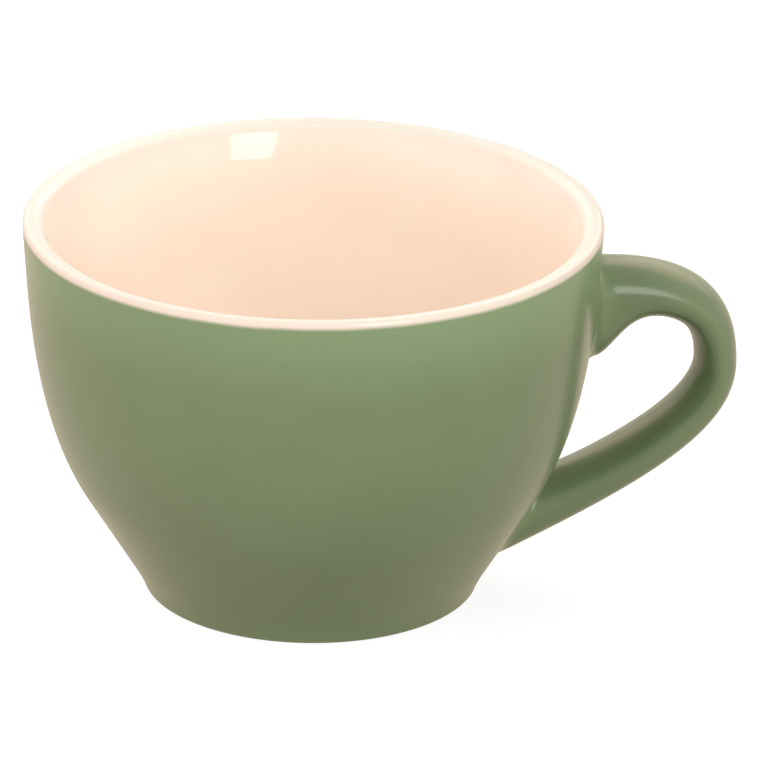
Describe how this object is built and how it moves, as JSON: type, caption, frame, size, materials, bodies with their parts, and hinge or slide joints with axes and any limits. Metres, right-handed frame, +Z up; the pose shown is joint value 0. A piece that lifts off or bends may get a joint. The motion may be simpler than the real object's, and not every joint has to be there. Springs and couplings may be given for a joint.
{
  "type": "cappuccino cup",
  "caption": "Wide stoneware coffee cup with a tapered foot, rounded shoulder and looped handle, satin green glaze outside and glossy cream glaze inside and over the lip.",
  "frame": {"origin": "on the table, under the middle of the cup's length from its wall to the handle's bend; the cup's own upright axis stands 11.375 mm towards -X from it", "axes": "+X out of the cup along the handle, +Z up, so the handle's plane is the XZ plane"},
  "size_m": [0.1147, 0.092, 0.0622],
  "materials": {
    "biscuit_stoneware": "matte",
    "luting_slip": "matte",
    "satin_green_glaze": "satin",
    "gloss_cream_glaze": "gloss"
  },
  "bodies": {
    "root": {"cup_body": "biscuit_stoneware", "handle": "biscuit_stoneware", "upper_joint": "luting_slip", "lower_joint": "luting_slip", "inner_glaze": "gloss_cream_glaze", "outer_glaze": "satin_green_glaze", "handle_glaze": "satin_green_glaze", "base_glaze": "satin_green_glaze"}
  },
  "joints": []
}
